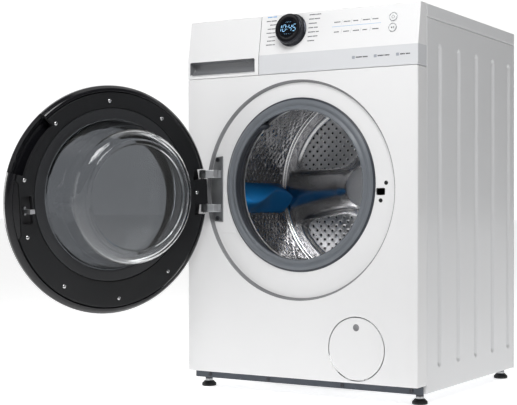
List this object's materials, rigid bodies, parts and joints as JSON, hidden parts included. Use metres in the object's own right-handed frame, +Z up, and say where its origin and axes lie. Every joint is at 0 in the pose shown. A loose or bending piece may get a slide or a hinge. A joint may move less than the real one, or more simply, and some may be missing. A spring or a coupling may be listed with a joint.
{
  "type": "front load washing machine",
  "caption": "Free-standing front load washing machine with an open round glass door, perforated drum, detergent drawer, programme knob and service flap.",
  "frame": {"origin": "floor level, at the centre of the pattern of the feet", "axes": "+X to the machine's right as seen from the front, +Y from the front panel towards the rear panel, +Z up"},
  "size_m": [0.7078, 1.0351, 0.85],
  "materials": {
    "white_enamel": "smooth gloss white enamel",
    "side_enamel": "white enamel, satin",
    "rear_steel": "galvanised grey",
    "pan_steel": "galvanised sheet",
    "worktop_laminate": "white laminate over particle board",
    "white_plastic": "white moulding",
    "display_smoke": "smoked window with lit digits",
    "touch_print": "printed touch keys",
    "board_green": "circuit board",
    "dispenser_plastic": "pale grey moulding",
    "cap_blue": "blue insert",
    "plinth_plastic": "dark blue-grey",
    "hinge_casting": "grey die casting",
    "dark_plastic": "black moulding",
    "seal_rubber": "grey rubber",
    "bright_steel": "zinc plated",
    "tub_plastic": "glass-filled polypropylene",
    "weight_iron": "rough casting",
    "damper_plastic": "grey moulding",
    "motor_alloy": "lacquered housing",
    "valve_white": "white moulding",
    "hose_rubber": "ribbed black rubber",
    "plug_grey": "grey caps",
    "door_gloss": "polished black rim",
    "door_grey": "dark grey moulding",
    "bowl_glass": "thick clear glass",
    "window_tint": "tinted glass",
    "door_steel": "dark plated",
    "knob_black": "gloss black",
    "key_chrome": "satin chrome",
    "filter_grey": "pale grey moulding",
    "drum_steel": "polished stainless",
    "lifter_blue": "blue moulding",
    "spider_alloy": "as cast",
    "belt_rubber": "ribbed belt",
    "foot_rubber": "black"
  },
  "bodies": {
    "cabinet": {"front_panel": "white_enamel", "mouth_plate": "white_enamel", "left_side_panel": "side_enamel", "right_side_panel": "side_enamel", "rear_panel": "rear_steel", "rear_access_cover": "rear_steel", "worktop": "worktop_laminate", "control_fascia": "white_plastic", "display_window": "display_smoke", "touch_key_strip": "touch_print", "control_board": "board_green", "drawer_housing": "dispenser_plastic", "plinth_bar": "plinth_plastic", "base_frame": "pan_steel", "top_braces": "pan_steel", "hinge_plate": "hinge_casting", "door_lock": "dark_plastic", "bellows": "seal_rubber", "tub_front": "tub_plastic", "tub_rear": "tub_plastic", "counterweights": "weight_iron", "suspension_springs": "bright_steel", "dampers": "damper_plastic", "drum_bearings": "bright_steel", "heater": "bright_steel", "motor": "motor_alloy", "drain_pump": "dark_plastic", "inlet_valve": "valve_white", "hoses": "hose_rubber", "fasteners": "bright_steel", "transit_plugs": "plug_grey", "cable_gland": "dark_plastic", "drive_belt": "belt_rubber"},
    "door": {"door_outer_ring": "door_gloss", "door_inner_ring": "door_grey", "door_bowl": "bowl_glass", "door_window": "window_tint", "door_screws": "door_steel", "hinge_block": "door_grey", "hinge_pin": "door_steel"},
    "hook": {"door_hook": "door_grey"},
    "drawer": {"drawer_front": "white_plastic", "drawer_tray": "dispenser_plastic", "softener_cap": "cap_blue"},
    "knob": {"program_knob": "knob_black"},
    "power": {"power_key": "key_chrome"},
    "start": {"start_key": "key_chrome"},
    "flap": {"service_flap": "white_plastic"},
    "filter": {"pump_filter": "filter_grey"},
    "drum": {"drum_shell": "drum_steel", "drum_back": "drum_steel", "lifters": "lifter_blue", "drum_spider": "spider_alloy", "drum_pulley": "spider_alloy"},
    "rotor": {"motor_pulley": "bright_steel"},
    "impeller": {"pump_impeller": "dark_plastic"},
    "foot_fl": {"foot_front_left": "foot_rubber"},
    "foot_fr": {"foot_front_right": "foot_rubber"},
    "foot_rl": {"foot_rear_left": "foot_rubber"},
    "foot_rr": {"foot_rear_right": "foot_rubber"}
  },
  "joints": [
    {"name": "door_hinge", "type": "hinge", "parent": "cabinet", "child": "door", "pos_m": [-0.242, -0.296, 0.457], "axis": [-0.0209, -0.0678, 0.9975], "range_deg": [-11, 109]},
    {"name": "hook_pivot", "type": "hinge", "parent": "door", "child": "hook", "pos_m": [-0.37798, -0.71944, 0.41078], "axis": [0.0364, -0.1095, 0.9933], "range_deg": [-6, 0], "stiffness_Nm_per_rad": 0.05, "springref_deg": 5.73},
    {"name": "drawer_slide", "type": "slide", "parent": "cabinet", "child": "drawer", "axis": [0, -1, 0], "range_m": [0, 0.19]},
    {"name": "knob_turn", "type": "hinge", "parent": "cabinet", "child": "knob", "pos_m": [-0.016, -0.27207, 0.811], "axis": [0, -0.9881, 0.1537], "continuous": true},
    {"name": "power_press", "type": "slide", "parent": "cabinet", "child": "power", "axis": [0, 0.9881, -0.1537], "range_m": [0, 0.0012], "stiffness_N_per_m": 500, "springref_m": -0.001},
    {"name": "start_press", "type": "slide", "parent": "cabinet", "child": "start", "axis": [0, 0.9881, -0.1537], "range_m": [0, 0.0012], "stiffness_N_per_m": 500, "springref_m": -0.001},
    {"name": "flap_hinge", "type": "hinge", "parent": "cabinet", "child": "flap", "pos_m": [0.15, -0.2785, 0.05], "axis": [1, 0, 0], "range_deg": [0, 90]},
    {"name": "filter_turn", "type": "hinge", "parent": "cabinet", "child": "filter", "pos_m": [0.15, -0.2, 0.115], "axis": [0, -1, 0], "range_deg": [0, 180]},
    {"name": "drum_spin", "type": "hinge", "parent": "cabinet", "child": "drum", "pos_m": [0, 0, 0.469], "axis": [0, 1, 0], "continuous": true},
    {"name": "rotor_spin", "type": "hinge", "parent": "cabinet", "child": "rotor", "pos_m": [-0.075, 0.172, 0.12], "axis": [0, 1, 0], "continuous": true},
    {"name": "impeller_spin", "type": "hinge", "parent": "cabinet", "child": "impeller", "pos_m": [0.15, -0.16, 0.115], "axis": [0, 1, 0], "continuous": true},
    {"name": "foot_fl_turn", "type": "hinge", "parent": "cabinet", "child": "foot_fl", "pos_m": [-0.276, -0.227, 0.02], "axis": [0, 0, 1], "range_deg": [-720, 720]},
    {"name": "foot_fr_turn", "type": "hinge", "parent": "cabinet", "child": "foot_fr", "pos_m": [0.276, -0.227, 0.02], "axis": [0, 0, 1], "range_deg": [-720, 720]},
    {"name": "foot_rl_turn", "type": "hinge", "parent": "cabinet", "child": "foot_rl", "pos_m": [-0.276, 0.227, 0.02], "axis": [0, 0, 1], "range_deg": [-720, 720]},
    {"name": "foot_rr_turn", "type": "hinge", "parent": "cabinet", "child": "foot_rr", "pos_m": [0.276, 0.227, 0.02], "axis": [0, 0, 1], "range_deg": [-720, 720]}
  ],
  "couplings": [
    {"joint": "rotor_spin", "follows": "drum_spin", "ratio": 12.682}
  ]
}
